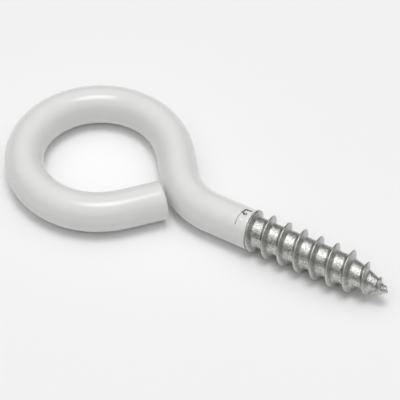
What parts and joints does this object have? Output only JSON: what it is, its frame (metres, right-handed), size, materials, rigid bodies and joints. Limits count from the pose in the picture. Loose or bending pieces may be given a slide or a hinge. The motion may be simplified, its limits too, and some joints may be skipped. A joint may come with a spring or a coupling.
{
  "type": "screw eye",
  "caption": "Plastic coated screw eye: a closed wire eye on a short shank with a coarse wood thread and a gimlet point, screwed into wood to hold a hook, cord or wire.",
  "frame": {"origin": "centre of the round part of the eye, in the middle plane of the wire", "axes": "+X along the shank and the thread, towards the point; +Z square to the plane of the eye"},
  "size_m": [0.0536, 0.0242, 0.0054],
  "materials": {
    "zinc_plated_steel": "bright zinc plating, slightly grainy",
    "white_plastic": "gloss"
  },
  "bodies": {
    "root": {"steel_screw_eye": "zinc_plated_steel", "plastic_coating": "white_plastic"}
  },
  "joints": []
}
